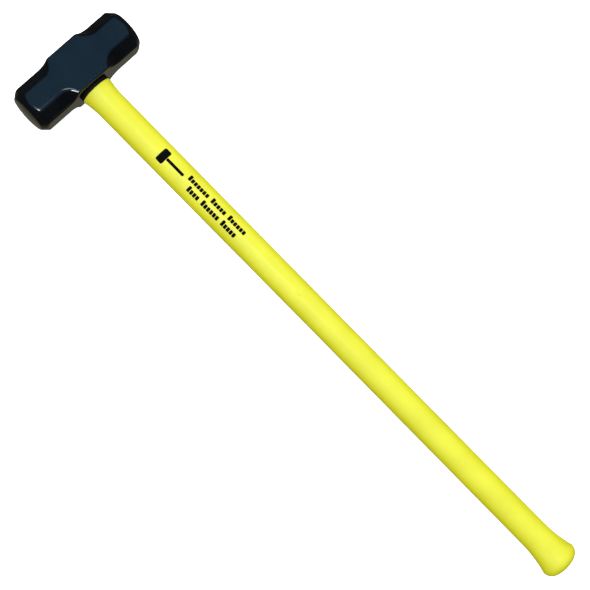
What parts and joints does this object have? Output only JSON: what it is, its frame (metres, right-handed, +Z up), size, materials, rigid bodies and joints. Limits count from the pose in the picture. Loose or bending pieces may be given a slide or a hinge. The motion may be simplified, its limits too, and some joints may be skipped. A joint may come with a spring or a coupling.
{
  "type": "sledgehammer",
  "caption": "Long-handled double-face sledgehammer: forged steel head on a moulded, butt-flared fibreglass handle, for driving wedges, stakes and hot work.",
  "frame": {"origin": "under the middle of the whole hammer, at the height of the lower cheek, on the handle's axis line seen from above", "axes": "+X along the handle from head to butt, +Y along the striking axis, +Z up out of the upper cheek; the hammer lies on the head's lower cheek"},
  "size_m": [0.9144, 0.176, 0.0603],
  "materials": {
    "head_paint": "glossy black dipped paint over forged steel",
    "fibreglass": "sawn pultruded glass fibre and resin",
    "jacket": "satin moulded high-visibility yellow polymer",
    "epoxy": "cast epoxy with a meniscus",
    "seal_rubber": "matt black moulded rubber"
  },
  "bodies": {
    "root": {"head": "head_paint", "core_rod": "fibreglass", "handle_jacket": "jacket", "eye_bond": "epoxy", "eye_seal": "seal_rubber"}
  },
  "joints": []
}
